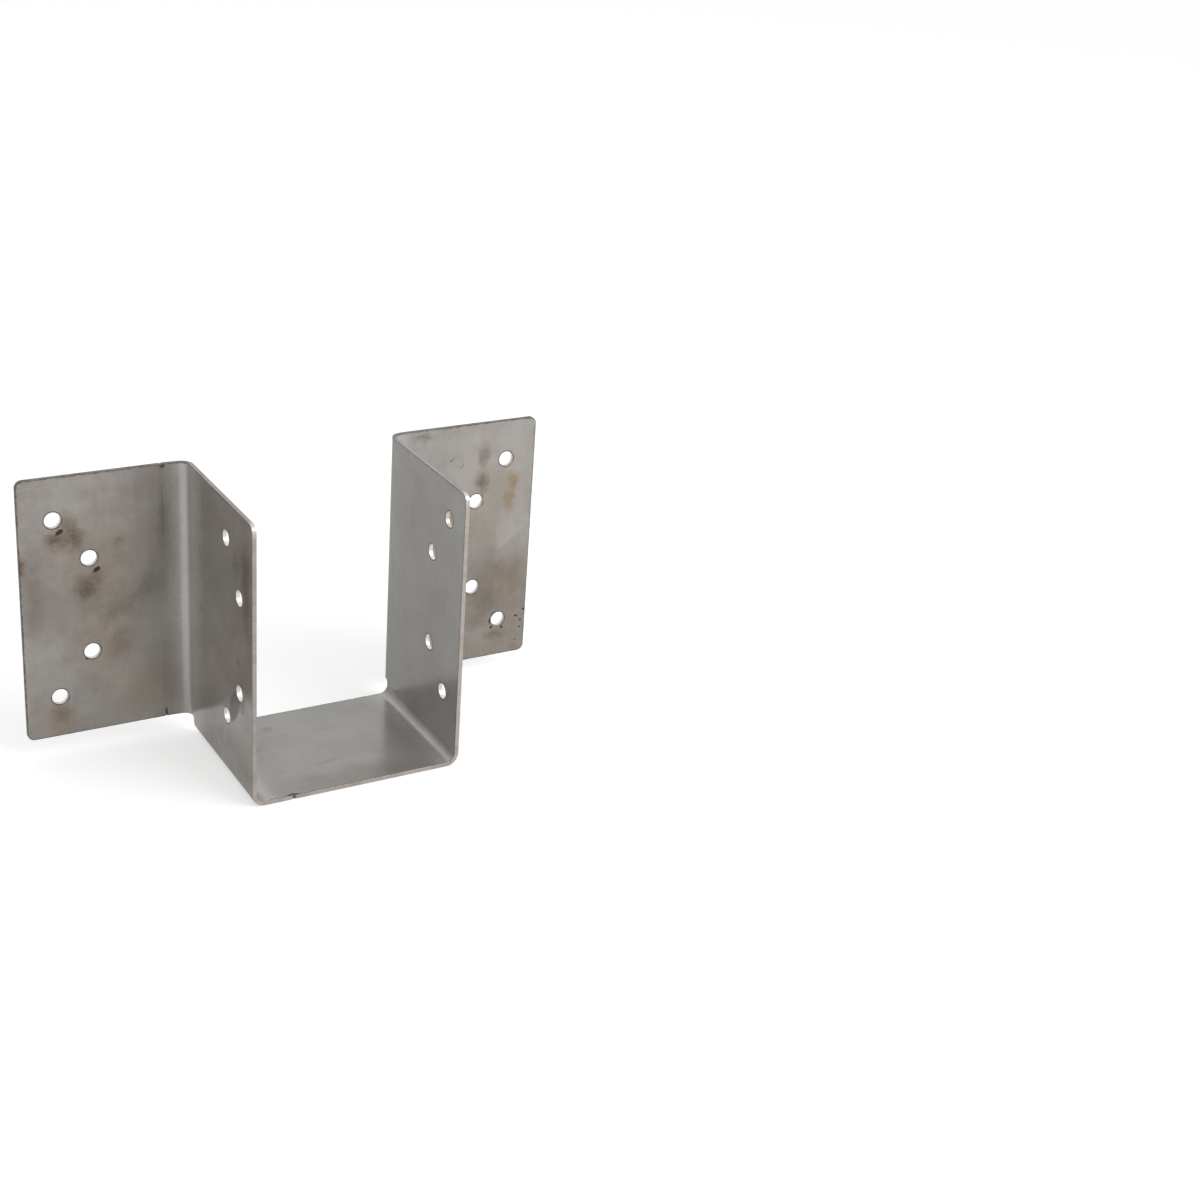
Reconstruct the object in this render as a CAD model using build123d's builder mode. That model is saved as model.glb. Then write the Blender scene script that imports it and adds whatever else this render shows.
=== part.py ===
import os

from build123d import *

# Joist hanger folded from one flat sheet: a seat, two side walls standing up from it and a
# nailing flange turned outward from the back of each wall. Four bends, each of 90 degrees.
# X runs across the joist, +Y points into the header the flanges lie against, +Z is up.
# The origin is under the middle of the part, level with the underside of the seat.

# sheet and bends
sheet = 1.5
bend_inside = 3.0
bend_outside = bend_inside + sheet

# pocket for the joist
pocket_width = 72.0
height = 100.0
depth = 61.0

# flanges, measured from the outer face of the wall they turn from
flange_width = 56.5
flange_lift = 6.5

# notch between each flange and the seat: the seat stops just short of the flange bends
seat_gap = 1.0
notch_radius = 1.0

# corners of the flat blank
corner_radius = 2.5

# nail holes: a wide pair and a close pair in each flange and wall, in two columns that
# follow the free edge. The heights are those of the middle of a pair in a wall.
hole_diameter = 5.5
edge_to_column = 11.5
column_pitch = 11.5
wide_pair_spacing = 64.0
close_pair_spacing = 34.0
wall_wide_pair_height = 55.2
wall_close_pair_height = 53.8

hole_radius = hole_diameter / 2
wall_outside = pocket_width / 2 + sheet
half_width = wall_outside + flange_width
back = depth / 2
front = -depth / 2
seat_back = back - bend_outside - seat_gap
flange_middle = (height + flange_lift) / 2
flange_outer_column = half_width - edge_to_column
flange_inner_column = flange_outer_column - column_pitch
wall_front_column = front + edge_to_column
wall_back_column = wall_front_column + column_pitch

with BuildPart() as joist_hanger:
    # seat and walls: one U-shaped section drawn across the joist and run along it
    with BuildSketch(Plane.XZ.offset(-seat_back)):
        with BuildLine() as channel:
            Polyline(
                (-wall_outside, height),
                (-wall_outside, 0),
                (wall_outside, 0),
                (wall_outside, height),
            )
            fillet(channel.vertices().group_by(Axis.Y)[0], bend_outside)
            offset(amount=sheet, side=Side.LEFT)
        make_face()
    extrude(amount=seat_back - front)

    # back of the right wall with its bend and flange: one section drawn in plan and run up
    # from just above the seat's bend, then the same on the left
    with BuildSketch(Plane.XY.offset(flange_lift - notch_radius)):
        with BuildLine() as turn:
            Polyline((pocket_width / 2, 0), (pocket_width / 2, back), (half_width, back))
            fillet(turn.vertices().sort_by_distance((pocket_width / 2, back))[0], bend_outside)
            offset(amount=sheet, side=Side.RIGHT)
        make_face()
    flange = extrude(amount=height - flange_lift + notch_radius)
    mirror(flange, about=Plane.YZ)

    # notch cut level along the flanges' lower edges, with a rounded corner at the walls
    with BuildSketch(Plane.YZ) as notch:
        with Locations((seat_back, flange_lift)):
            Rectangle(bend_outside + seat_gap, 2 * notch_radius, align=(Align.MIN, Align.MAX))
        fillet(notch.vertices().group_by(Axis.X)[0].sort_by(Axis.Y)[-1], notch_radius)
    extrude(amount=half_width, both=True, mode=Mode.SUBTRACT)

    # rounded corners of the flanges and of the walls' front edges
    flange_corners = joist_hanger.edges().filter_by(Axis.Y)
    fillet(flange_corners.group_by(Axis.X)[0] + flange_corners.group_by(Axis.X)[-1], corner_radius)
    wall_corners = joist_hanger.edges().filter_by(Axis.X).group_by(Axis.Z)[-1]
    fillet(wall_corners.group_by(Axis.Y)[0], corner_radius)

    # nail holes of the flanges: the wide pairs by the free edges, the close pairs inside them
    with BuildSketch(Plane.XZ.offset(-back)):
        with Locations((0, flange_middle)):
            with GridLocations(2 * flange_outer_column, wide_pair_spacing, 2, 2):
                Circle(hole_radius)
            with GridLocations(2 * flange_inner_column, close_pair_spacing, 2, 2):
                Circle(hole_radius)
    extrude(amount=sheet, mode=Mode.SUBTRACT)

    # nail holes of the right wall: the wide pair by the front edge, the close pair behind it
    with BuildSketch(Plane.YZ.offset(pocket_width / 2)):
        with Locations((wall_front_column, wall_wide_pair_height)):
            with GridLocations(0, wide_pair_spacing, 1, 2):
                Circle(hole_radius)
        with Locations((wall_back_column, wall_close_pair_height)):
            with GridLocations(0, close_pair_spacing, 1, 2):
                Circle(hole_radius)
    extrude(amount=sheet, mode=Mode.SUBTRACT)

    # nail holes of the left wall: the pairs change columns, so that a nail driven through
    # one wall passes beside the nail that comes from the other
    with BuildSketch(Plane.YZ.offset(-wall_outside)):
        with Locations((wall_back_column, wall_wide_pair_height)):
            with GridLocations(0, wide_pair_spacing, 1, 2):
                Circle(hole_radius)
        with Locations((wall_front_column, wall_close_pair_height)):
            with GridLocations(0, close_pair_spacing, 1, 2):
                Circle(hole_radius)
    extrude(amount=sheet, mode=Mode.SUBTRACT)

os.makedirs("parts", exist_ok=True)
joist_hanger.part.label = "joist_hanger"
export_step(joist_hanger.part, "parts/joist_hanger.step")
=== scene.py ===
import math

import bpy
from mathutils import Matrix, Vector
from mathutils.geometry import delaunay_2d_cdt, intersect_point_line


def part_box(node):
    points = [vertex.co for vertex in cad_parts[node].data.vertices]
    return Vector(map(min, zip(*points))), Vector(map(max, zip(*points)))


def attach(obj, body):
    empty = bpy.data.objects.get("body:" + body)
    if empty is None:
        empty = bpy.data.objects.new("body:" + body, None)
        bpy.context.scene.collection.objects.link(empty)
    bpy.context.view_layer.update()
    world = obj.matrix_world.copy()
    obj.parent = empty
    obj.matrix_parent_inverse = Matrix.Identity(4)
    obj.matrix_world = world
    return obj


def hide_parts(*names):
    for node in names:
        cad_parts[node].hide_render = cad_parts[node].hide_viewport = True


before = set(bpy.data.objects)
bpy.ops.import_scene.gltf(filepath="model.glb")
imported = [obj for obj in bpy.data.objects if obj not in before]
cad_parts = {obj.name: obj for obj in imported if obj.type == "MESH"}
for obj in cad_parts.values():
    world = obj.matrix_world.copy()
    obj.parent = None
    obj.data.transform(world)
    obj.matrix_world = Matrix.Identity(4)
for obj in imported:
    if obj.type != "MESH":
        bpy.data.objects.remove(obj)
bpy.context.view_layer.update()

# The flat blank: what the cutting table leaves of a 1.5 mm stainless sheet before it is folded.
# It lies in the XY plane with the seat already where it ends up. X runs up the walls once they
# are folded, and +Y runs out along the flanges. Each flange bows a little into its bend.
mm = 0.001
sheet = 1.5 * mm
bend_inside = 3 * mm
bend_outside = bend_inside + sheet
neutral_depth = 0.44 * sheet
neutral_radius = bend_inside + neutral_depth
bow_angle = math.radians(6)
bow_radius = 54 * mm
bow_neutral = bow_radius + neutral_depth
flange_angle = math.pi / 2 - bow_angle
wall_bend = neutral_radius * math.pi / 2
flange_bend = neutral_radius * flange_angle
bow_length = bow_neutral * bow_angle
pocket_width = 72 * mm
flange_lift = 6.5 * mm
seat_gap = 1 * mm
notch_radius = 1 * mm
corner_radius = 2.5 * mm
hole_radius = 2.75 * mm
edge_to_column = 11.5 * mm
column_pitch = 11.5 * mm
wide_pair = 64 * mm
close_pair = 34 * mm
wall_wide_height = 55.2 * mm
wall_close_height = 53.8 * mm
bend_steps = 14
bow_steps = 5
bend_guard = 0.4 * mm
rim_width = 0.8 * mm
hole_scorch = 1.25
hole_steps = 48
corner_steps = 8
header_clearance = 0.0003 * mm
same_point = 0.0001 * mm

low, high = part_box("joist_hanger")
front, back = low.y, high.y
seat_back = back - bend_outside - seat_gap
wall_line = pocket_width / 2 - bend_inside
bend_depth = neutral_radius * math.sin(flange_angle) + bow_neutral * (1 - math.sin(flange_angle))
bend_width = neutral_radius * (1 - math.cos(flange_angle)) + bow_neutral * math.cos(flange_angle)
flange_line = back - header_clearance - sheet + neutral_depth - bend_depth
bow_line = flange_line + flange_bend
flange_start = pocket_width / 2 + sheet - neutral_depth + bend_width


def blank_up_wall(height):
    """Distance across the blank of a point at this height on a folded wall."""
    return wall_line + wall_bend + height - bend_outside


def blank_out_flange(reach):
    """Distance along the blank of a point this far from the middle on a folded flange."""
    return bow_line + bow_length + reach - flange_start


def arc(centre_x, centre_y, radius, start, end, steps):
    """Points along an arc, with its angles in degrees, both ends included."""
    turns = [math.radians(start + (end - start) * step / steps) for step in range(steps + 1)]
    return [(centre_x + radius * math.cos(t), centre_y + radius * math.sin(t)) for t in turns]


def blank_outline():
    """The blank's outline, anticlockwise, from one half and its mirror image."""
    top = blank_up_wall(high.z)
    bottom = blank_up_wall(flange_lift)
    end = blank_out_flange(high.x)
    c, n = corner_radius, notch_radius
    half = arc(top - c, front + c, c, -90, 0, corner_steps)
    half += arc(top - c, end - c, c, 0, 90, corner_steps)
    half += arc(bottom + c, end - c, c, 90, 180, corner_steps)
    half += arc(bottom - n, seat_back + n, n, 0, -90, corner_steps)
    return half + [(-x, y) for x, y in reversed(half)]


def nicked(loop, nicks):
    """The outline with small nicks in its edge: each is a point near it, a width and a depth."""
    for point, width, depth in nicks:
        spans = []
        for i, start in enumerate(loop):
            a, b = Vector(start), Vector(loop[(i + 1) % len(loop)])
            nearest, share = intersect_point_line(Vector(point), a, b)
            if 0 <= share <= 1:
                spans.append(((nearest.xy - Vector(point)).length, i, nearest.xy, (b - a).normalized()))
        i, place, along = min(spans, key=lambda span: span[0])[1:]
        inward = Vector((-along.y, along.x))
        cut = [place - along * width / 2, place + inward * depth, place + along * width / 2]
        loop = loop[: i + 1] + [tuple(corner) for corner in cut] + loop[i + 1 :]
    return loop


def hole_centres():
    """Centres of the sixteen nail holes on the blank."""
    flange_middle = (high.z + flange_lift) / 2
    outer = blank_out_flange(high.x - edge_to_column)
    inner = blank_out_flange(high.x - edge_to_column - column_pitch)
    near, far = front + edge_to_column, front + edge_to_column + column_pitch
    centres = []
    for end in (-1, 1):
        for side in (-1, 1):
            wide, close = end * wide_pair / 2, end * close_pair / 2
            centres.append((side * blank_up_wall(flange_middle + wide), outer))
            centres.append((side * blank_up_wall(flange_middle + close), inner))
        centres.append((blank_up_wall(wall_wide_height + end * wide_pair / 2), near))
        centres.append((blank_up_wall(wall_close_height + end * close_pair / 2), far))
        centres.append((-blank_up_wall(wall_wide_height + end * wide_pair / 2), far))
        centres.append((-blank_up_wall(wall_close_height + end * close_pair / 2), near))
    return centres


def bend_lines():
    """Lines across the blank where it has to curve, run a little past its edges."""
    spare = 2 * mm
    lines = []
    bent = [wall_bend * step / bend_steps for step in range(bend_steps + 1)]
    for past in [-bend_guard] + bent + [wall_bend + bend_guard]:
        for side in (-1, 1):
            x = side * (wall_line + past)
            lines.append([(x, front - spare), (x, seat_back + spare)])
    bent = [flange_bend * step / bend_steps for step in range(bend_steps)]
    bent += [flange_bend + bow_length * step / bow_steps for step in range(bow_steps + 1)]
    for past in [-bend_guard] + bent + [flange_bend + bow_length + bend_guard]:
        y = flange_line + past
        for side in (-1, 1):
            near = side * (blank_up_wall(flange_lift) - spare)
            lines.append([(near, y), (side * (blank_up_wall(high.z) + spare), y)])
    return lines


def inside(point, loop):
    """Whether a point lies within a closed loop of points."""
    x, y = point
    within = False
    for (ax, ay), (bx, by) in zip(loop, loop[1:] + loop[:1]):
        if (ay > y) != (by > y) and x < ax + (bx - ax) * (y - ay) / (by - ay):
            within = not within
    return within


def drawn_in(loop, distance):
    """A closed anticlockwise loop moved inward by a distance."""
    moved = []
    for i, (x, y) in enumerate(loop):
        before, after = loop[i - 1], loop[(i + 1) % len(loop)]
        along = (Vector((x, y)) - Vector(before)).normalized()
        along = (along + (Vector(after) - Vector((x, y))).normalized()).normalized()
        moved.append((x - along.y * distance, y + along.x * distance))
    return moved


def rim(point, outline):
    """1 on the blank's outline and more round a hole, falling to 0 a rim's width in from them."""
    from_hole = min((point - Vector(centre)).length for centre in hole_centres()) - hole_radius
    away = rim_width
    for a, b in zip(outline, outline[1:] + outline[:1]):
        nearest, share = intersect_point_line(point, Vector(a), Vector(b))
        if 0 <= share <= 1:
            away = min(away, (nearest.xy - point).length)
    return max(0.0, 1 - away / rim_width, hole_scorch * (1 - from_hole / rim_width))


def cut_blank(nicks):
    """The blank as a flat mesh, with an edge along every bend line and a UV map of itself."""
    plain = blank_outline()
    outline = nicked(plain, nicks)
    holes = [arc(x, y, hole_radius, 0, 360, hole_steps)[:-1] for x, y in hole_centres()]
    rims = [drawn_in(plain, rim_width)]
    rims += [arc(x, y, hole_radius + rim_width, 0, 360, hole_steps)[:-1] for x, y in hole_centres()]
    points, edges = [], []
    for loop in [outline] + holes + rims:
        first = len(points)
        points += loop
        edges += [(first + i, first + (i + 1) % len(loop)) for i in range(len(loop))]
    for line in bend_lines():
        edges.append((len(points), len(points) + 1))
        points += line
    cut = delaunay_2d_cdt([Vector(p) for p in points], edges, [], 0, same_point)
    corners, triangles = cut[0], cut[2]
    kept = []
    for triangle in triangles:
        middle = sum((corners[i] for i in triangle), Vector((0, 0))) / len(triangle)
        if inside(middle, outline) and not any(inside(middle, hole) for hole in holes):
            kept.append(triangle)
    used = sorted({i for triangle in kept for i in triangle})
    number = {old: new for new, old in enumerate(used)}
    mesh = bpy.data.meshes.new("joist_hanger_blank")
    mesh.from_pydata(
        [(corners[i].x, corners[i].y, 0) for i in used],
        [],
        [[number[i] for i in triangle] for triangle in kept],
    )
    blank_map = mesh.uv_layers.new(name="blank")
    for loop in mesh.loops:
        blank_map.data[loop.index].uv = mesh.vertices[loop.vertex_index].co.xy
    scorched_rim = mesh.attributes.new("rim", "FLOAT", "POINT")
    for vertex in mesh.vertices:
        scorched_rim.data[vertex.index].value = rim(vertex.co.xy, plain)
    mesh.shade_smooth()
    return mesh


def new_tree(kind, name, inputs, outputs):
    """An empty node group with named sockets: each is (name, type) or (name, type, default)."""
    tree = bpy.data.node_groups.new(name, kind)
    for in_out, sockets in (("INPUT", inputs), ("OUTPUT", outputs)):
        for socket in sockets:
            made = tree.interface.new_socket(socket[0], in_out=in_out, socket_type=socket[1])
            if len(socket) > 2:
                made.default_value = socket[2]
    return tree, tree.nodes.new("NodeGroupInput").outputs, tree.nodes.new("NodeGroupOutput").inputs


def add(tree, kind, inputs, **settings):
    """A node with its settings, and its inputs by name or number as sockets or plain values."""
    node = tree.nodes.new(kind)
    for name, value in settings.items():
        setattr(node, name, value)
    for name, value in inputs.items():
        if isinstance(value, bpy.types.NodeSocket):
            tree.links.new(value, node.inputs[name])
        else:
            node.inputs[name].default_value = value
    return node


def calc(tree, operation, *values):
    """A math node's output."""
    return add(tree, "ShaderNodeMath", dict(enumerate(values)), operation=operation).outputs[0]


def bend_rule():
    """How far along and how high a point of the sheet comes when the sheet is bent."""
    tree, given, result = new_tree(
        "GeometryNodeTree",
        "bent sheet",
        [
            ("Past Line", "NodeSocketFloat"),
            ("Into Sheet", "NodeSocketFloat"),
            ("Inside Radius", "NodeSocketFloat"),
            ("Angle", "NodeSocketFloat"),
            ("Bend Length", "NodeSocketFloat"),
        ],
        [("Along", "NodeSocketFloat"), ("Rise", "NodeSocketFloat")],
    )
    past, angle, length = given["Past Line"], given["Angle"], given["Bend Length"]
    share = calc(tree, "DIVIDE", past, length)
    share.node.use_clamp = True
    turn = calc(tree, "MULTIPLY", share, angle)
    radius = calc(tree, "ADD", given["Inside Radius"], given["Into Sheet"])
    beyond = calc(tree, "MAXIMUM", calc(tree, "SUBTRACT", past, length), 0.0)
    along = calc(tree, "MULTIPLY", radius, calc(tree, "SINE", turn))
    along = calc(tree, "ADD", along, calc(tree, "MINIMUM", past, 0.0))
    rise = calc(tree, "MULTIPLY", radius, calc(tree, "COSINE", turn))
    rise = calc(tree, "SUBTRACT", given["Inside Radius"], rise)
    along = calc(tree, "ADD", along, calc(tree, "MULTIPLY", beyond, calc(tree, "COSINE", angle)))
    rise = calc(tree, "ADD", rise, calc(tree, "MULTIPLY", beyond, calc(tree, "SINE", angle)))
    tree.links.new(along, result["Along"])
    tree.links.new(rise, result["Rise"])
    return tree


def press_brake(bends):
    """Gives the blank its thickness, turns the flanges down and then the two walls up."""
    parts = ("Line", "Inside Radius", "Angle", "Bend Length")
    sizes = [
        (f"{name} {part}", "NodeSocketFloat", value)
        for name, values in bends.items()
        for part, value in zip(parts, values)
    ]
    tree, given, result = new_tree(
        "GeometryNodeTree",
        "joist hanger folded from its blank",
        [("Blank", "NodeSocketGeometry"), ("Sheet", "NodeSocketFloat", sheet)]
        + sizes
        + [(name, "NodeSocketMaterial") for name in ("Outer Face", "Inner Face", "Cut Edge")],
        [("Folded", "NodeSocketGeometry")],
    )
    rule = bend_rule()

    # the sheet: the blank pushed up by its thickness, with the blank turned over beneath it
    thicken = add(
        tree,
        "GeometryNodeExtrudeMesh",
        {
            "Mesh": given["Blank"],
            "Offset": (0, 0, 1),
            "Offset Scale": given["Sheet"],
            "Individual": False,
        },
    )
    under = add(tree, "GeometryNodeFlipFaces", {"Mesh": given["Blank"]})
    closed = tree.nodes.new("GeometryNodeJoinGeometry")
    tree.links.new(thicken.outputs["Mesh"], closed.inputs[0])
    tree.links.new(under.outputs["Mesh"], closed.inputs[0])
    welded = add(
        tree,
        "GeometryNodeMergeByDistance",
        {"Geometry": closed.outputs[0], "Distance": 0.001 * mm},
    )
    x, y, z = add(
        tree, "ShaderNodeSeparateXYZ", {0: tree.nodes.new("GeometryNodeInputPosition").outputs[0]}
    ).outputs

    def bend(name, across, into):
        line = given[f"{name} Line"]
        used = add(tree, "GeometryNodeGroup", {}, node_tree=rule)
        tree.links.new(calc(tree, "SUBTRACT", across, line), used.inputs["Past Line"])
        tree.links.new(into, used.inputs["Into Sheet"])
        for part in parts[1:]:
            tree.links.new(given[f"{name} {part}"], used.inputs[part])
        return calc(tree, "ADD", line, used.outputs["Along"]), used.outputs["Rise"]

    def moved(shape, *place):
        joined = add(tree, "ShaderNodeCombineXYZ", dict(enumerate(place))).outputs[0]
        return add(
            tree, "GeometryNodeSetPosition", {"Geometry": shape, "Position": joined}
        ).outputs[0]

    # flanges: bowed and bent about lines under the sheet, so they point down for now
    shape = welded.outputs[0]
    for name in ("Bow", "Flange"):
        along, rise = bend(name, y, z)
        shape = moved(shape, x, along, calc(tree, "MULTIPLY", rise, -1.0))

    # walls: bent about lines above the sheet, one each side, which brings the flanges outward
    reach, rise = bend("Wall", calc(tree, "ABSOLUTE", x), calc(tree, "SUBTRACT", given["Sheet"], z))
    reach = calc(tree, "MULTIPLY", reach, calc(tree, "SIGN", x))
    shape = moved(shape, reach, y, calc(tree, "ADD", given["Sheet"], rise))

    shape = add(tree, "GeometryNodeRealizeInstances", {0: shape}).outputs[0]
    for name, part in (("Outer Face", None), ("Inner Face", "Top"), ("Cut Edge", "Side")):
        coat = {"Geometry": shape, "Material": given[name]}
        if part:
            coat["Selection"] = thicken.outputs[part]
        shape = add(tree, "GeometryNodeSetMaterial", coat).outputs[0]
    tree.links.new(shape, result["Folded"])
    return tree


def set_inputs(modifier, values):
    """Gives a modifier's node tree its inputs, each through the identifier of its socket."""
    for item in modifier.node_group.interface.items_tree:
        if item.in_out == "INPUT" and item.name in values:
            modifier[item.identifier] = values[item.name]


# The steel's faces: cold-rolled stainless with a dull mill finish, its grain running up the walls.
# Heat, handling and the cutting torch have left film, stains and a dark rim. The bright bands
# along the bends are painted highlights, and a few film spots stand for painted light, painted
# shade and a painted reflection, as noted where they are listed. A mark's place on the blank is
# given by where it ends up once folded.


def on_flange(side, reach, height):
    """Where a flange's point lies on the blank, from its reach and height in millimetres."""
    return side * blank_up_wall(height * mm), blank_out_flange(reach * mm)


def on_wall(side, y, height):
    """Where a wall's point lies on the blank, from its y and height in millimetres."""
    return side * blank_up_wall(height * mm), y * mm


def on_seat(x, y):
    """Where a point of the seat lies on the blank, in millimetres."""
    return x * mm, y * mm


def spot_group():
    """A soft oval on the blank: 1 at its centre, 0 at its reach."""
    tree, given, result = new_tree(
        "ShaderNodeTree",
        "soft spot",
        [
            ("Place", "NodeSocketVector"),
            ("Centre", "NodeSocketVector"),
            ("Reach", "NodeSocketVector", (0.001, 0.001, 1)),
            ("Turn", "NodeSocketFloat"),
            ("Softness", "NodeSocketFloat", 1.0),
        ],
        [("Mask", "NodeSocketFloat")],
    )
    turned = add(
        tree,
        "ShaderNodeVectorRotate",
        {"Vector": given["Place"], "Center": given["Centre"], "Angle": given["Turn"]},
        rotation_type="Z_AXIS",
    ).outputs[0]
    offset = add(
        tree, "ShaderNodeVectorMath", {0: turned, 1: given["Centre"]}, operation="SUBTRACT"
    ).outputs[0]
    scaled = add(
        tree, "ShaderNodeVectorMath", {0: offset, 1: given["Reach"]}, operation="DIVIDE"
    ).outputs[0]
    away = add(tree, "ShaderNodeVectorMath", {0: scaled}, operation="LENGTH").outputs["Value"]
    mask = add(
        tree,
        "ShaderNodeMapRange",
        {
            "Value": away,
            "From Min": calc(tree, "SUBTRACT", 1.0, given["Softness"]),
            "From Max": 1.0,
            "To Min": 1.0,
            "To Max": 0.0,
        },
        interpolation_type="SMOOTHSTEP",
    ).outputs[0]
    tree.links.new(mask, result["Mask"])
    return tree


def noise(tree, place, scale, detail=2.0, roughness=0.5, stretch=None):
    """Noise at a scale in cycles per metre, stretched by a vector where one is given."""
    if stretch:
        place = add(
            tree, "ShaderNodeVectorMath", {0: place, 1: stretch}, operation="MULTIPLY"
        ).outputs[0]
    return add(
        tree,
        "ShaderNodeTexNoise",
        {"Vector": place, "Scale": scale, "Detail": detail, "Roughness": roughness},
    ).outputs[0]


def ramp(tree, value, low_end, high_end, bottom=0.0, top=1.0):
    """A value run smoothly from bottom to top between two ends."""
    return add(
        tree,
        "ShaderNodeMapRange",
        {"Value": value, "From Min": low_end, "From Max": high_end, "To Min": bottom, "To Max": top},
        interpolation_type="SMOOTHSTEP",
    ).outputs[0]


def blend(tree, share, under, over, kind="MIX"):
    """One colour laid over another by a share."""
    node = tree.nodes.new("ShaderNodeMix")
    node.data_type = "RGBA"
    node.blend_type = kind
    for slot, value in ((0, share), (6, under), (7, over)):
        if isinstance(value, bpy.types.NodeSocket):
            tree.links.new(value, node.inputs[slot])
        else:
            node.inputs[slot].default_value = value
    return node.outputs[2]


def mill_finish_group():
    """Rolled stainless: a steel colour under a patchy film, with grain and soft unevenness."""
    tree, given, result = new_tree(
        "ShaderNodeTree",
        "mill finish",
        [
            ("Place", "NodeSocketVector"),
            ("Steel", "NodeSocketColor", (0.33, 0.32, 0.3, 1)),
            ("Film", "NodeSocketColor", (0.25, 0.2, 0.16, 1)),
            ("Film Cover", "NodeSocketFloat", 0.0),
        ],
        [
            ("Colour", "NodeSocketColor"),
            ("Roughness", "NodeSocketFloat"),
            ("Height", "NodeSocketFloat"),
        ],
    )
    place = given["Place"]
    cloud = noise(tree, place, 48, 3, 0.5)
    patch = noise(tree, place, 240, 4, 0.6)
    speckle = noise(tree, place, 2600, 2, 0.6)
    # the grain is long up the walls and fine across them
    fine_grain = noise(tree, place, 1, 3, 0.6, stretch=(70, 3800, 1))
    broad_grain = noise(tree, place, 1, 2, 0.5, stretch=(22, 620, 1))

    cloudy = calc(tree, "ADD", ramp(tree, cloud, 0.36, 0.64, -0.14, 0.14), given["Film Cover"])
    cloudy = calc(tree, "ADD", cloudy, ramp(tree, patch, 0.35, 0.7, -0.07, 0.07))
    cloudy.node.use_clamp = True
    filmed = blend(tree, cloudy, given["Steel"], given["Film"])

    streaks = ramp(tree, fine_grain, 0.25, 0.75, 0.975, 1.025)
    streaks = calc(tree, "MULTIPLY", streaks, ramp(tree, broad_grain, 0.3, 0.7, 0.985, 1.015))
    streaks = calc(tree, "MULTIPLY", streaks, ramp(tree, speckle, 0.3, 0.7, 0.98, 1.02))
    grey = add(tree, "ShaderNodeCombineColor", {0: streaks, 1: streaks, 2: streaks}).outputs[0]
    tree.links.new(blend(tree, 1.0, filmed, grey, "MULTIPLY"), result["Colour"])

    rough = calc(tree, "ADD", 0.17, calc(tree, "MULTIPLY", patch, 0.08))
    rough = calc(tree, "ADD", rough, calc(tree, "MULTIPLY", cloudy, 0.07))
    tree.links.new(rough, result["Roughness"])
    waves = calc(tree, "MULTIPLY", cloud, 5.0)
    height = calc(tree, "ADD", waves, calc(tree, "MULTIPLY", fine_grain, 0.2))
    tree.links.new(height, result["Height"])
    return tree


def torch_rim_group():
    """How dark the torch has left a face along its cut edges, ragged like the real scale."""
    tree, given, result = new_tree(
        "ShaderNodeTree",
        "torch rim",
        [("Place", "NodeSocketVector"), ("Depth", "NodeSocketFloat", 0.85)],
        [("Mask", "NodeSocketFloat")],
    )
    edge = add(tree, "ShaderNodeAttribute", {}, attribute_name="rim").outputs["Fac"]
    shake = ramp(tree, noise(tree, given["Place"], 700, 3), 0.3, 0.7, -0.24, 0.24)
    mask = ramp(tree, calc(tree, "ADD", edge, shake), 0.34, 0.95)
    mask = calc(tree, "MULTIPLY", mask, given["Depth"])
    # nothing is left where the rim's value has run out, whatever the noise says
    within_rim = calc(tree, "MINIMUM", calc(tree, "MULTIPLY", edge, 8.0), 1.0)
    tree.links.new(calc(tree, "MULTIPLY", mask, within_rim), result["Mask"])
    return tree


def highlight_band_group():
    """A painted highlight band on the blank at a distance past a line, broken up a little along it."""
    tree, given, result = new_tree(
        "ShaderNodeTree",
        "painted highlight band",
        [
            ("Place", "NodeSocketVector"),
            ("Across", "NodeSocketFloat"),
            ("Middle", "NodeSocketFloat"),
            ("Before", "NodeSocketFloat", 0.001),
            ("After", "NodeSocketFloat", 0.001),
        ],
        [("Mask", "NodeSocketFloat")],
    )
    off = calc(tree, "SUBTRACT", given["Across"], given["Middle"])
    rising = calc(tree, "ADD", 1.0, calc(tree, "DIVIDE", off, given["Before"]))
    falling = calc(tree, "SUBTRACT", 1.0, calc(tree, "DIVIDE", off, given["After"]))
    band = ramp(tree, calc(tree, "MINIMUM", rising, falling), 0.0, 1.0)
    worn = ramp(tree, noise(tree, given["Place"], 900, 4, 0.6), 0.25, 0.65, 0.85, 1.0)
    tree.links.new(calc(tree, "MULTIPLY", band, worn), result["Mask"])
    return tree


soft_spot = spot_group()
mill_finish = mill_finish_group()
torch_rim = torch_rim_group()
highlight_band_tree = highlight_band_group()


def spots(tree, place, softness, marks, joined="MAXIMUM"):
    """Several marks as one mask. Each is its centre, half sizes, turn in degrees and strength."""
    total = None
    for centre, reach, turn, strength in marks:
        spot = add(tree, "ShaderNodeGroup", {}, node_tree=soft_spot)
        tree.links.new(place, spot.inputs["Place"])
        spot.inputs["Centre"].default_value = (*centre, 0)
        spot.inputs["Reach"].default_value = (reach[0] * mm, reach[1] * mm, 1)
        spot.inputs["Turn"].default_value = math.radians(turn)
        spot.inputs["Softness"].default_value = softness
        mask = calc(tree, "MULTIPLY", spot.outputs["Mask"], strength)
        total = mask if total is None else calc(tree, joined, total, mask)
    return total


def frayed(tree, place, scale, amount):
    """The place on the blank, shaken so that the marks laid on it lose their smooth outlines."""
    shaken = add(
        tree, "ShaderNodeTexNoise", {"Vector": place, "Scale": scale, "Detail": 4.0}
    ).outputs["Color"]
    shift = add(
        tree, "ShaderNodeVectorMath", {0: shaken, 1: (0.5, 0.5, 0.5)}, operation="SUBTRACT"
    ).outputs[0]
    shift = add(
        tree, "ShaderNodeVectorMath", {0: shift, 1: (amount, amount, 0)}, operation="MULTIPLY"
    ).outputs[0]
    return add(tree, "ShaderNodeVectorMath", {0: place, 1: shift}, operation="ADD").outputs[0]


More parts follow.
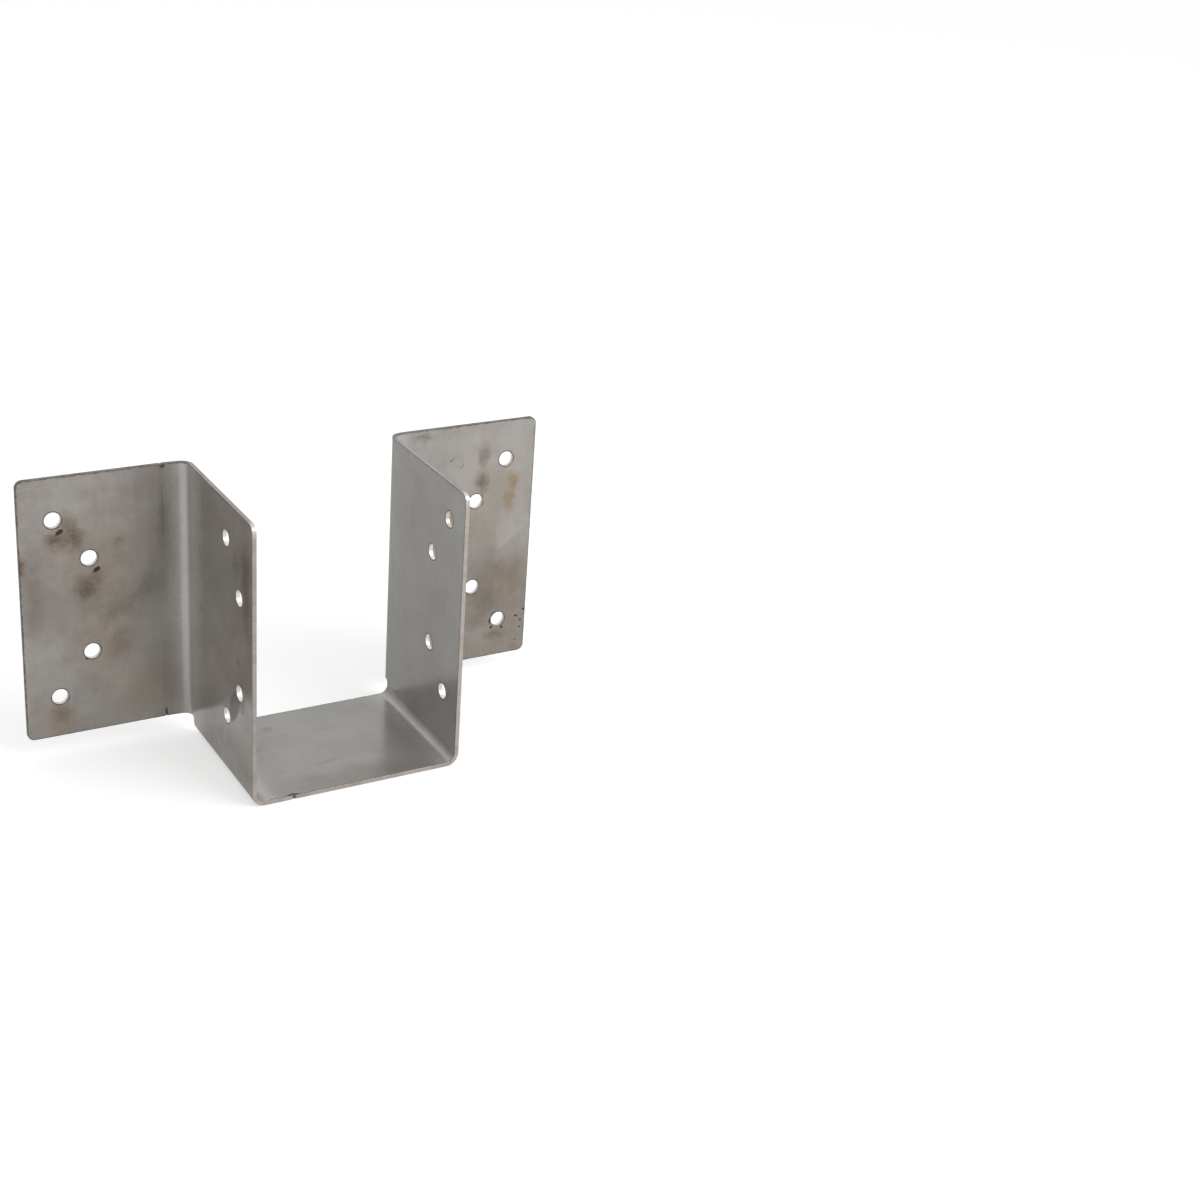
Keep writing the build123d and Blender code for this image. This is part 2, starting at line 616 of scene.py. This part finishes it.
def beyond_line(tree, place, point, turn, softness):
    """1 on the left of a line through a point at a turn in degrees, 0 on its right."""
    t = math.radians(turn)
    offset = add(
        tree, "ShaderNodeVectorMath", {0: place, 1: (*point, 0)}, operation="SUBTRACT"
    ).outputs[0]
    side = add(
        tree,
        "ShaderNodeVectorMath",
        {0: offset, 1: (-math.sin(t), math.cos(t), 0)},
        operation="DOT_PRODUCT",
    ).outputs["Value"]
    return ramp(tree, side, -softness * mm, softness * mm)


def painted_highlight_bands(tree, place, bands):
    """Painted highlight bands along the bends as one mask. Each is an axis, a line on it, the band's
    middle past that line, how far it reaches before and after its middle, in millimetres, and its
    strength."""
    across = add(tree, "ShaderNodeSeparateXYZ", {0: place}).outputs
    highlight_mask = None
    for axis, line, middle, before, after, strength in bands:
        past = across[1] if axis else calc(tree, "ABSOLUTE", across[0])
        past = calc(tree, "SUBTRACT", past, line)
        band = add(tree, "ShaderNodeGroup", {}, node_tree=highlight_band_tree)
        tree.links.new(place, band.inputs["Place"])
        tree.links.new(past, band.inputs["Across"])
        band.inputs["Middle"].default_value = middle * mm
        band.inputs["Before"].default_value = before * mm
        band.inputs["After"].default_value = after * mm
        mask = calc(tree, "MULTIPLY", band.outputs["Mask"], strength)
        highlight_mask = mask if highlight_mask is None else calc(tree, "MAXIMUM", highlight_mask, mask)
    return highlight_mask


def film_as_reflection(tree, place, loose, centre, reach, strength, reflection_lines):
    """A patch of film painted as a reflection, with a crisp edge: cleared left of all the lines given.
    """
    torn = frayed(tree, place, 500, 1.2 * mm)
    clear = None
    for edge_of_reflection in reflection_lines:
        side = beyond_line(tree, torn, *edge_of_reflection)
        clear = side if clear is None else calc(tree, "MINIMUM", clear, side)
    patch = spots(tree, loose, 1.0, [(centre, reach, 0, strength)])
    return calc(tree, "MULTIPLY", patch, calc(tree, "SUBTRACT", 1.0, clear))


def rubbed_arcs(tree, place, middle, spacing, patch):
    """Faint arcs round a point, within a patch, such as a part turning under a clamp leaves."""
    offset = add(
        tree, "ShaderNodeVectorMath", {0: place, 1: (*middle, 0)}, operation="SUBTRACT"
    ).outputs[0]
    away = add(tree, "ShaderNodeVectorMath", {0: offset}, operation="LENGTH").outputs["Value"]
    wave = calc(tree, "SINE", calc(tree, "MULTIPLY", away, 2 * math.pi / (spacing * mm)))
    return calc(tree, "MULTIPLY", ramp(tree, wave, 0.1, 0.9), spots(tree, place, 1.0, [patch]))


# the colour of the painted highlights along the bends
highlight_colour = (0.58, 0.57, 0.55, 1)
scratch_dirt = (0.06, 0.05, 0.044, 1)
torch_scale = (0.066, 0.052, 0.043, 1)


def steel_face(name, steel, film, film_cover, marks, bend_highlights, reflection_film=None, rubs=()):
    """A face: its marks by kind, painted highlight bands, film as a painted reflection, rub marks."""
    material = bpy.data.materials.new(name)
    material.use_nodes = True
    tree = material.node_tree
    shader = tree.nodes["Principled BSDF"]
    place = add(tree, "ShaderNodeUVMap", {}, uv_map="blank").outputs[0]
    loose = frayed(tree, place, 300, 5 * mm)
    close = frayed(tree, place, 1500, 1.2 * mm)

    # film spots hold film, and a few listed ones are painted light and painted shade
    cover = calc(tree, "ADD", spots(tree, loose, 1.0, marks["film"], "ADD"), film_cover)
    # painted reflection: a film patch whose crisp edge stands in for a boundary the flange reflects
    if reflection_film:
        cover = calc(tree, "ADD", cover, film_as_reflection(tree, place, loose, *reflection_film))
    finish = add(tree, "ShaderNodeGroup", {}, node_tree=mill_finish)
    tree.links.new(place, finish.inputs["Place"])
    tree.links.new(cover, finish.inputs["Film Cover"])
    finish.inputs["Steel"].default_value = steel
    finish.inputs["Film"].default_value = film
    colour, rough = finish.outputs["Colour"], finish.outputs["Roughness"]

    # painted highlight: bright steel laid in bands along the bends
    highlight_mask = painted_highlight_bands(tree, place, bend_highlights)
    colour = blend(tree, highlight_mask, colour, highlight_colour)

    dull = None
    stains = (
        ("grey", loose, 1.0, (0.13, 0.128, 0.12, 1), 0.3),
        ("ochre", loose, 1.0, (0.31, 0.215, 0.105, 1), 0.4),
        ("brown", loose, 1.0, (0.102, 0.066, 0.04, 1), 0.5),
        ("copper", close, 1.0, (0.42, 0.23, 0.15, 1), 0.3),
        ("crust", close, 0.3, (0.1, 0.087, 0.076, 1), 0.6),
        ("soot", close, 0.45, (0.026, 0.015, 0.008, 1), 1.0),
    )
    speck = noise(tree, place, 1100, 3)
    for kind, shaken, softness, stain, dulling in stains:
        if kind not in marks:
            continue
        mask = spots(tree, shaken, softness, marks[kind])
        if kind != "soot":
            mask = calc(tree, "MULTIPLY", mask, ramp(tree, speck, 0.3, 0.6, 0.6, 1.0))
        colour = blend(tree, mask, colour, stain)
        mask = calc(tree, "MULTIPLY", mask, dulling)
        dull = mask if dull is None else calc(tree, "MAXIMUM", dull, mask)

    # scratches and the dotted line of the die's shoulder
    dotted = ramp(tree, noise(tree, place, 1700, 3, 0.6), 0.42, 0.6)
    lines = calc(tree, "MULTIPLY", spots(tree, close, 0.8, marks["lines"]), dotted)
    for rub in rubs:
        lines = calc(tree, "MAXIMUM", lines, rubbed_arcs(tree, close, *rub))
    colour = blend(tree, lines, colour, scratch_dirt)

    rim_mask = add(tree, "ShaderNodeGroup", {}, node_tree=torch_rim)
    tree.links.new(place, rim_mask.inputs["Place"])
    colour = blend(tree, rim_mask.outputs["Mask"], colour, torch_scale)

    dull = calc(tree, "MAXIMUM", calc(tree, "MAXIMUM", dull, lines), rim_mask.outputs["Mask"])
    tree.links.new(colour, shader.inputs["Base Color"])
    rough = calc(tree, "ADD", rough, calc(tree, "MULTIPLY", dull, 0.3))
    rough = calc(tree, "ADD", rough, calc(tree, "MULTIPLY", highlight_mask, 0.14))
    tree.links.new(rough, shader.inputs["Roughness"])
    tree.links.new(ramp(tree, dull, 0, 1, 0.56, 0.2), shader.inputs["Metallic"])
    height = calc(tree, "ADD", finish.outputs["Height"], calc(tree, "MULTIPLY", dull, 2.0))
    bump = add(tree, "ShaderNodeBump", {"Height": height, "Distance": 0.02 * mm, "Strength": 1.0})
    tree.links.new(bump.outputs[0], shader.inputs["Normal"])
    return material


def wall_hole_rims(side, reach, strength):
    """A small tint on the rim of each hole in a wall, at the top and a little to the front."""
    above, before = 2.6 * mm, 1.2 * mm
    rims = []
    for x, y in hole_centres():
        if x * side > 0 and y < flange_line:
            rims.append(((x + side * above, y - before), reach, 0, strength))
    return rims


outer_face = steel_face(
    "steel_outer_face",
    steel=(0.42, 0.4, 0.378, 1),
    film=(0.21, 0.18, 0.152, 1),
    film_cover=0.42,
    marks={
        "film": [
            (on_flange(-1, 90, 60), (28, 9), 0, 0.28),
            (on_flange(-1, 50, 50), (60, 10), 0, -0.25),
            (on_flange(-1, 50, 62), (12, 8), 0, 0.12),
            (on_flange(-1, 68, 52), (24, 18), 0, 0.12),
            # painted light: much less film lightens the left flange low by the wall, standing in for
            # floor light
            (on_flange(-1, 54, 20), (22, 17), 0, -0.62),
            (on_flange(-1, 56, 91), (7, 15), 0, 0.1),
            (on_flange(-1, 88, 66), (26, 10), 0, 0.1),
            (on_flange(-1, 88, 33), (15, 12), 0, -0.14),
            (on_flange(-1, 72, 75), (12, 15), 0, 0.16),
            (on_flange(1, 70, 85), (44, 48), 0, -0.33),
            (on_flange(1, 84, 14), (16, 24), 0, 0.14),
            (on_flange(1, 87, 60), (16, 12), 0, -0.34),
            (on_flange(1, 84, 47), (8, 8), 0, -0.2),
            (on_flange(1, 95, 45), (24, 9), 0, -0.34),
            (on_flange(1, 74, 52), (24, 12), 0, -0.14),
            (on_flange(1, 77, 18), (14, 9), 0, -0.2),
            (on_wall(-1, 0, 60), (60, 40), 0, -0.06),
            # painted light: less film lightens the lower left wall, standing in for light from the
            # floor
            (on_wall(-1, 0, 30), (20, 44), 0, -0.36),
            (on_wall(-1, 22, 60), (70, 12), 0, -0.2),
            (on_wall(-1, -26, 70), (34, 5), 0, 0.3),
            (on_wall(-1, -24, 84), (12, 6), 0, 0.25),
            (on_wall(-1, -24, 53), (13, 6), 0, -0.24),
            (on_wall(-1, -25, 13), (13, 12), 0, 0.35),
        ],
        "grey": [
            (on_flange(-1, 49.5, 58.5), (10, 7.5), 0, 0.42),
            (on_flange(-1, 46, 82), (22, 3.5), 0, 0.18),
            (on_flange(-1, 61.3, 74.7), (3.4, 3.4), 0, 0.3),
            (on_flange(1, 77.4, 29.8), (7, 7.5), 0, 0.72),
            (on_flange(1, 72, 33), (6, 6), 0, 0.35),
            (on_wall(-1, -8, 76), (34, 26), 0, 0.16),
        ],
        "ochre": [
            (on_flange(-1, 54, 20), (20, 18), 0, 0.42),
            (on_flange(-1, 64, 66), (28, 24), 0, 0.24),
            (on_flange(-1, 66, 38), (18, 20), 0, 0.32),
            (on_flange(-1, 83, 12), (10, 9), 0, 0.5),
            (on_flange(-1, 78, 78), (13, 10), 0, 0.45),
            (on_flange(-1, 94, 68), (12, 5), 0, 0.2),
            (on_flange(1, 85.8, 76), (7.8, 4.4), 0, 1.0),
            (on_flange(1, 84.6, 69.4), (8.5, 4.8), 0, 0.95),
            (on_flange(1, 78, 72), (34, 26), 0, 0.2),
            (on_flange(1, 82, 30), (28, 24), 0, 0.2),
            (on_flange(1, 76, 9), (7, 24), 0, 0.3),
        ],
        "brown": [
            (on_flange(-1, 82, 78.2), (4.8, 5.4), 0, 0.85),
            (on_flange(-1, 76, 79), (11, 5.8), 21, 0.8),
            (on_flange(-1, 79.4, 77.8), (6, 6), 0, 0.62),
            (on_flange(-1, 77.6, 84), (4.5, 4), 0, 0.5),
            (on_flange(-1, 66, 86), (5, 12), 0, 0.2),
            (on_flange(-1, 61, 72), (11, 12), 0, 0.16),
            (on_flange(-1, 72, 59.4), (8, 6.4), 0, 0.8),
            (on_flange(-1, 69, 62.6), (6.5, 5.5), 0, 0.55),
            (on_flange(-1, 82.4, 14.6), (6.2, 5), 0, 0.5),
            (on_flange(-1, 93.5, 70.6), (6.0, 2.6), 0, 0.8),
            (on_flange(-1, 56.6, 14.3), (9, 14), 0, 0.12),
            (on_flange(-1, 60.2, 32), (8, 8), 0, 0.16),
            (on_flange(-1, 54.5, 54.5), (3.4, 6.5), 20, 0.22),
            (on_flange(-1, 63, 49.5), (6, 10), 35, 0.36),
            (on_flange(-1, 61, 37.5), (9, 7), 0, 0.3),
            (on_flange(-1, 46.2, 84), (16, 1.6), 0, 0.2),
            (on_flange(1, 73.2, 87.2), (7.5, 3.6), 0, 0.52),
            (on_flange(1, 80, 76), (12, 7), 0, 0.2),
            (on_flange(1, 73.3, 77.6), (7, 5.2), 0, 0.75),
            (on_flange(1, 48.8, 97.4), (2.5, 7), 0, 0.5),
            (on_flange(1, 81, 15), (3.2, 6.5), 0, 0.55),
            (on_flange(1, 74, 22), (7, 7), 0, 0.35),
            (on_wall(-1, -16, 81), (9, 4.5), 0, 0.4),
            (on_wall(-1, -24.5, 76), (20, 5.5), 0, 0.55),
            (on_wall(-1, -18.3, 47.3), (2.6, 1.6), 0, 0.5),
        ]
        + wall_hole_rims(-1, (2.2, 2.4), 0.85)
        + wall_hole_rims(1, (2.0, 2.2), 0.5)
        + [
            (on_wall(1, -12, 60), (12, 7), 30, 0.3),
            (on_wall(1, 8, 30), (8, 9), 0, 0.25),
        ],
        "crust": [
            (on_wall(-1, -14.4, 29.8), (9.5, 4), -33, 0.8),
            (on_wall(-1, -21.5, 33), (3.0, 2.6), 0, 0.4),
        ],
        "soot": [
            (on_flange(-1, 80.4, 80.9), (1.1, 1.6), 35, 1.0),
            (on_flange(-1, 81.2, 80.2), (0.7, 0.8), 0, 0.8),
            (on_flange(-1, 68.6, 65.9), (1.0, 1.6), 35, 1.0),
            (on_flange(-1, 69.3, 65.2), (0.6, 0.8), 0, 0.7),
            (on_flange(-1, 72.9, 33.7), (0.5, 0.9), 0, 0.8),
            (on_flange(-1, 45.9, 8.2), (2, 0.6), 0, 0.75),
            (on_flange(-1, 45.7, 99.2), (0.9, 1.2), 0, 0.8),
            (on_flange(1, 80, 18.2), (0.8, 0.7), 0, 1.0),
            (on_flange(1, 84.4, 17.6), (0.8, 0.7), 0, 1.0),
            (on_flange(1, 80.6, 23.4), (1.5, 0.8), -40, 1.0),
            (on_flange(1, 79.3, 20.8), (1.6, 0.55), 0, 0.9),
            (on_flange(1, 90.1, 21.3), (0.5, 1.1), 0, 0.9),
            (on_flange(1, 93.2, 23.5), (0.6, 0.8), 0, 0.9),
            (on_flange(1, 92.1, 19.1), (0.6, 0.6), 0, 0.9),
            (on_flange(1, 92, 16.2), (0.5, 0.5), 0, 0.8),
            (on_flange(1, 90.4, 11.3), (0.5, 0.5), 0, 0.6),
        ],
        "lines": [
            (on_flange(-1, 46, 82), (19, 0.5), 0, 0.62),
            (on_flange(-1, 60.6, 75.2), (1.6, 0.7), 50, 0.5),
            (on_flange(-1, 62.2, 74.4), (0.8, 0.5), 0, 0.45),
            (on_flange(-1, 90.7, 96), (0.3, 4.0), 0, 0.4),
            (on_flange(-1, 90.4, 94.6), (0.25, 4.4), 4, 0.35),
            (on_flange(1, 60.7, 87.5), (1.9, 0.5), -40, 0.9),
            (on_flange(1, 65.1, 84.7), (2.0, 0.5), -40, 0.9),
        ],
    },
    # painted highlight along each flange's bend
    bend_highlights=[(1, flange_line, 1.6, 15, 10, 0.71)],
    # painted reflection: film on the right flange, its crisp diagonal edge a reflected boundary
    reflection_film=(
        on_flange(1, 84, 35),
        (46, 38),
        0.36,
        [(on_flange(1, 88.4, 55), 234.5, 0.3), (on_flange(1, 80.7, 58), 0, 2.0)],
    ),
    rubs=[
        (on_flange(-1, 82.5, 85.25), 0.9, (on_flange(-1, 86, 73.5), (8, 8), 0, 0.2)),
        (on_flange(-1, 60, 130), 1.0, (on_flange(-1, 86, 95.5), (3.5, 9), 0, 0.14)),
        (on_flange(-1, 70, 70), 0.9, (on_flange(-1, 57, 81), (8, 8), 0, 0.14)),
    ],
)
inner_face = steel_face(
    "steel_inner_face",
    steel=(0.345, 0.34, 0.322, 1),
    film=(0.25, 0.243, 0.222, 1),
    film_cover=0.25,
    marks={
        "film": [
            (on_wall(1, 8.7, 77), (11, 3), 0, 0.25),
            (on_wall(1, -14, 60), (40, 12), 0, 0.12),
            # painted shade: film over most of the right wall's inner face, darker as less light comes
            # from the left
            (on_wall(1, 0, 68), (60, 46), 0, 0.44),
            (on_wall(1, 6, 92), (14, 20), 0, 0.25),
            (on_seat(-24, -4), (14, 30), 0, 0.3),
            (on_wall(1, -22, 15), (10, 10), 0, -0.4),
            (on_wall(1, 4, 12), (9, 22), 0, 0.12),
            (on_wall(1, 2, 6), (8, 12), 0, 0.5),
            (on_wall(-1, -5, 50), (30, 16), 0, 0.2),
            (on_flange(-1, 70, 50), (30, 20), 0, 0.25),
            (on_flange(1, 66, 40), (24, 22), 0, 0.25),
            (on_seat(0, -27), (40, 12), 0, 0.95),
            (on_seat(27, -5), (14, 34), 0, -0.5),
            (on_seat(31, 18), (7, 12), 0, -0.35),
        ],
        "brown": [
            (on_wall(1, 27, 44), (5, 2.5), 0, 0.25),
            (on_wall(1, -7.8, 58), (1.2, 3.5), 0, 0.12),
            (on_seat(-14.4, 15.4), (3.5, 2), 0, 0.3),
            (on_seat(-24, 2), (6, 2), 10, 0.2),
            (on_seat(-34.5, -26), (3, 7), 0, 0.5),
            (on_seat(-4, -14), (9, 2.4), -15, 0.2),
            (on_seat(4, 8), (7, 3), 20, 0.14),
            (on_flange(-1, 74, 56), (14, 7), 30, 0.3),
            (on_flange(-1, 60, 88), (5, 9), 0, 0.25),
            (on_flange(-1, 86, 24), (6, 5), 0, 0.35),
            (on_flange(1, 66, 74), (9, 6), -25, 0.3),
            (on_flange(1, 84, 48), (16, 6), 0, 0.25),
            (on_flange(1, 58, 20), (7, 9), 0, 0.25),
            (on_wall(-1, 6, 70), (9, 5), 0, 0.2),
        ],
        "ochre": [(on_wall(1, 8, 17), (14, 12), 0, 0.22)],
        "copper": [(on_wall(1, -20.3, 88.6), (3.4, 3.0), 0, 0.75)],
        "soot": [
            (on_wall(1, 23.6, 5.6), (0.6, 0.6), 0, 0.7),
            (on_seat(-23.2, -30), (2.6, 1.0), 0, 0.9),
            (on_seat(22.4, 25), (1.2, 0.7), 0, 0.6),
        ],
        "lines": [
            (on_wall(1, 22.5, 45), (28, 0.3), 0, 0.55),
            (on_seat(-11.1, -5.8), (0.3, 3.0), 20, 0.2),
        ],
    },
    # painted highlights along the wall creases and, faintly, along the flange bends
    bend_highlights=[(0, wall_line, 0.5, 7, 2.8, 0.5), (1, flange_line, 3.0, 2.4, 2.4, 0.15)],
)

# The cut edge: a bright pinkish kerf along the front, plainer grey on top of the walls, browned
# to a dull dark line round the flanges, where the torch ran hot, and painted near white in the
# holes as a highlight. The left wall's edge is a little darker, and the top front corners of the
# walls carry a painted glint.
kerf_pink = (0.5, 0.455, 0.415, 1)
kerf_grey = (0.37, 0.365, 0.355, 1)
kerf_dark = (0.27, 0.24, 0.215, 1)
# painted highlight: the hole walls, near white as if lit from above
hole_wall_highlight = (0.84, 0.815, 0.785, 1)
kerf_scorched = (0.1, 0.084, 0.074, 1)
kerf_ridges = (0.24, 0.2, 0.17, 1)
# painted glint on the rounded top front corners of the walls
corner_glint_colour = (0.72, 0.69, 0.66, 1)
kerf_copper = (0.5, 0.31, 0.22, 1)
pink_full, pink_gone = front + 0.5 * mm, front + 3 * mm
dark_from, dark_full = -36 * mm, -44 * mm
hot_from, hot_full = 24 * mm, 30 * mm
holes_lowest, holes_highest = 9 * mm, 96.5 * mm
holes_from_front, holes_farthest = 6.5 * mm, 91.5 * mm
zone_blur = 0.5 * mm

cut_edge = bpy.data.materials.new("steel_cut_edge")
cut_edge.use_nodes = True
edge_tree = cut_edge.node_tree
edge_shader = edge_tree.nodes["Principled BSDF"]
edge_place = add(edge_tree, "ShaderNodeUVMap", {}, uv_map="blank").outputs[0]
kerf_lines = noise(edge_tree, edge_place, 3600, 3, 0.6)
kerf_patch = noise(edge_tree, edge_place, 220, 3, 0.6)
edge_axes = add(edge_tree, "ShaderNodeSeparateXYZ", {0: edge_place}).outputs
up_wall, out_flange = edge_axes[0], edge_axes[1]
far_up = calc(edge_tree, "ABSOLUTE", up_wall)

# an edge well inside the blank's outline is the wall of a hole
in_hole = None
for distance, limit, blur in (
    (far_up, blank_up_wall(holes_lowest), zone_blur),
    (far_up, blank_up_wall(holes_highest), -zone_blur),
    (out_flange, front + holes_from_front, zone_blur),
    (out_flange, blank_out_flange(holes_farthest), -zone_blur),
):
    within = ramp(edge_tree, distance, limit - blur, limit + blur)
    in_hole = within if in_hole is None else calc(edge_tree, "MULTIPLY", in_hole, within)

hot = ramp(edge_tree, out_flange, hot_from, hot_full, 0.05, 0.85)
hot = calc(edge_tree, "ADD", hot, ramp(edge_tree, kerf_patch, 0.35, 0.7, -0.15, 0.15))
hot.node.use_clamp = True
hot = calc(edge_tree, "MULTIPLY", hot, ramp(edge_tree, in_hole, 0, 1, 1.0, 0.15))
along_front = ramp(edge_tree, out_flange, pink_gone, pink_full)
darker = ramp(edge_tree, up_wall, dark_from, dark_full, 0.0, 0.3)
ridged = ramp(edge_tree, kerf_lines, 0.35, 0.65, 0.0, 0.2)
# painted glint: a bright spot on each wall's top front corner
corners = [(on_wall(side, front / mm + 1, 99), (4, 4), 0, 0.8) for side in (-1, 1)]
corner_glint = spots(edge_tree, edge_place, 0.8, corners)
burnt = spots(edge_tree, edge_place, 0.6, [(on_seat(-22.8, -30.3), (0.8, 2), 0, 0.85)])
copper = spots(edge_tree, edge_place, 0.6, [(on_wall(1, -19, 87.2), (4, 4), 0, 0.7)])
edge_colour = kerf_grey
for share, colour in (
    (along_front, kerf_pink),
    (darker, kerf_dark),
    (in_hole, hole_wall_highlight),
    (hot, kerf_scorched),
    (ridged, kerf_ridges),
    (corner_glint, corner_glint_colour),
    (burnt, kerf_scorched),
    (copper, kerf_copper),
):
    edge_colour = blend(edge_tree, share, edge_colour, colour)
edge_tree.links.new(edge_colour, edge_shader.inputs["Base Color"])
edge_tree.links.new(ramp(edge_tree, hot, 0, 1, 0.6, 0.15), edge_shader.inputs["Metallic"])
edge_rough = ramp(edge_tree, kerf_patch, 0.3, 0.7, 0.26, 0.42)
edge_rough = calc(edge_tree, "ADD", edge_rough, calc(edge_tree, "MULTIPLY", hot, 0.2))
edge_tree.links.new(edge_rough, edge_shader.inputs["Roughness"])
edge_bump = add(edge_tree, "ShaderNodeBump", {"Height": kerf_lines, "Distance": 0.03 * mm})
edge_tree.links.new(edge_bump.outputs[0], edge_shader.inputs["Normal"])

# The hanger itself: the blank is nicked where the cuts began and folded, and its edges are a
# little broken by handling. It is one sheet, so it becomes one plain mesh on the fixed body.
nicks = [
    (on_seat(-23, -30.5), 2.2 * mm, 0.45 * mm),
    (on_seat(22.4, 25.5), 0.9 * mm, 0.3 * mm),
    (on_flange(-1, 46.03, 100), 1.0 * mm, 0.3 * mm),
    (on_flange(-1, 46.03, 6.5), 1.0 * mm, 0.3 * mm),
]
bends = {
    "Bow": (bow_line, bow_radius, bow_angle, bow_length),
    "Flange": (flange_line, bend_inside, flange_angle, flange_bend),
    "Wall": (wall_line, bend_inside, math.pi / 2, wall_bend),
}
hanger = bpy.data.objects.new("folded_hanger", cut_blank(nicks))
bpy.context.scene.collection.objects.link(hanger)
folding = hanger.modifiers.new("folding", "NODES")
folding.node_group = press_brake(bends)
set_inputs(folding, {"Outer Face": outer_face, "Inner Face": inner_face, "Cut Edge": cut_edge})
edge_break = hanger.modifiers.new("edge break", "BEVEL")
edge_break.width = 0.12 * mm
edge_break.segments = 2
edge_break.limit_method = "ANGLE"
edge_break.angle_limit = math.radians(40)
edge_break.harden_normals = True
bpy.context.view_layer.update()
finished = bpy.data.meshes.new_from_object(
    hanger.evaluated_get(bpy.context.evaluated_depsgraph_get())
)
hanger.modifiers.clear()
hanger.data = finished
hanger.data.name = "folded_hanger"
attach(hanger, "root")
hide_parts("joist_hanger")

# Floor and background: a plain white floor that runs on into a white surround. Both show pale
# to the camera and in the metal, the surround palest overhead, and the floor keeps the shadow.
floor_radius = 6
floor_sides = 64
floor_gap = 0.05 * mm
floor_glow_seen, floor_glow_in_metal = 0.53, 0.28
surround_light = 0.72
surround_low, surround_overhead = 0.62, 1.0
overhead_from = 0.6
white = (1, 1, 1, 1)

floor_mesh = bpy.data.meshes.new("floor")
floor_ring = arc(0, 0, floor_radius, 0, 360, floor_sides)[:-1]
floor_mesh.from_pydata([(x, y, 0) for x, y in floor_ring], [], [range(floor_sides)])
floor = bpy.data.objects.new("floor", floor_mesh)
floor.location.z = -floor_gap
bpy.context.scene.collection.objects.link(floor)
floor_white = bpy.data.materials.new("white_floor")
floor_white.use_nodes = True
floor_mesh.materials.append(floor_white)
world = bpy.data.worlds.new("studio")
bpy.context.scene.world = world
world.use_nodes = True


def mirrored(tree, rays):
    """1 for the rays that show a surface in metal or glass."""
    return calc(tree, "MAXIMUM", rays["Is Glossy Ray"], rays["Is Transmission Ray"])


floor_tree = floor_white.node_tree
floor_rays = floor_tree.nodes.new("ShaderNodeLightPath").outputs
floor_shader = floor_tree.nodes["Principled BSDF"]
floor_shader.inputs["Base Color"].default_value = (0.62, 0.62, 0.62, 1)
floor_shader.inputs["Roughness"].default_value = 1.0
floor_shader.inputs["Specular IOR Level"].default_value = 0.0
floor_shader.inputs["Emission Color"].default_value = white
floor_glow = calc(
    floor_tree,
    "ADD",
    calc(floor_tree, "MULTIPLY", floor_rays["Is Camera Ray"], floor_glow_seen),
    calc(floor_tree, "MULTIPLY", mirrored(floor_tree, floor_rays), floor_glow_in_metal),
)
floor_tree.links.new(floor_glow, floor_shader.inputs["Emission Strength"])
sky = world.node_tree
sky_rays = sky.nodes.new("ShaderNodeLightPath").outputs
direction = sky.nodes.new("ShaderNodeTexCoord").outputs["Generated"]
upward = add(sky, "ShaderNodeSeparateXYZ", {0: direction}).outputs[2]
overhead = ramp(sky, upward, 0.0, overhead_from, surround_low, surround_overhead)
in_metal = mirrored(sky, sky_rays)
brightness = add(sky, "ShaderNodeMix", {0: in_metal, 2: surround_light, 3: overhead}).outputs[0]
brightness = calc(sky, "MAXIMUM", brightness, sky_rays["Is Camera Ray"])
surround = sky.nodes["Background"]
surround.inputs["Color"].default_value = white
sky.links.new(brightness, surround.inputs["Strength"])

# Studio light: one square soft box in front of the hanger, to its right and above it. The rest
# of the light comes from the surround.
lamp_place = Vector((0.55, -0.75, 0.8))
lamp_aim = Vector((0, 0, 0.05))
soft_box = bpy.data.lights.new("key", "AREA")
soft_box.size = 0.8
soft_box.energy = 7
lamp = bpy.data.objects.new("key", soft_box)
lamp.location = lamp_place
lamp.rotation_euler = (lamp_aim - lamp_place).to_track_quat("-Z", "Y").to_euler()
bpy.context.scene.collection.objects.link(lamp)

# Camera: where the photograph was taken from, a step to the hanger's left and above it, with
# a slight roll. Its place and turn are fitted to the hanger's outlines and holes.
camera_place = (-0.24866, -0.57518, 0.34814)
camera_turn = math.radians(31.868)
camera_dip = math.radians(24.67)
camera_roll = math.radians(4.425)
camera_focal_length = 61.068
camera_data = bpy.data.cameras.new("camera")
camera_data.sensor_width = 36
camera_data.lens = camera_focal_length
camera = bpy.data.objects.new("camera", camera_data)
camera.matrix_world = (
    Matrix.Translation(camera_place)
    @ Matrix.Rotation(-camera_turn, 4, "Z")
    @ Matrix.Rotation(math.pi / 2 - camera_dip, 4, "X")
    @ Matrix.Rotation(camera_roll, 4, "Z")
)
bpy.context.scene.collection.objects.link(camera)
bpy.context.scene.camera = camera
bpy.context.scene.view_settings.view_transform = "Standard"
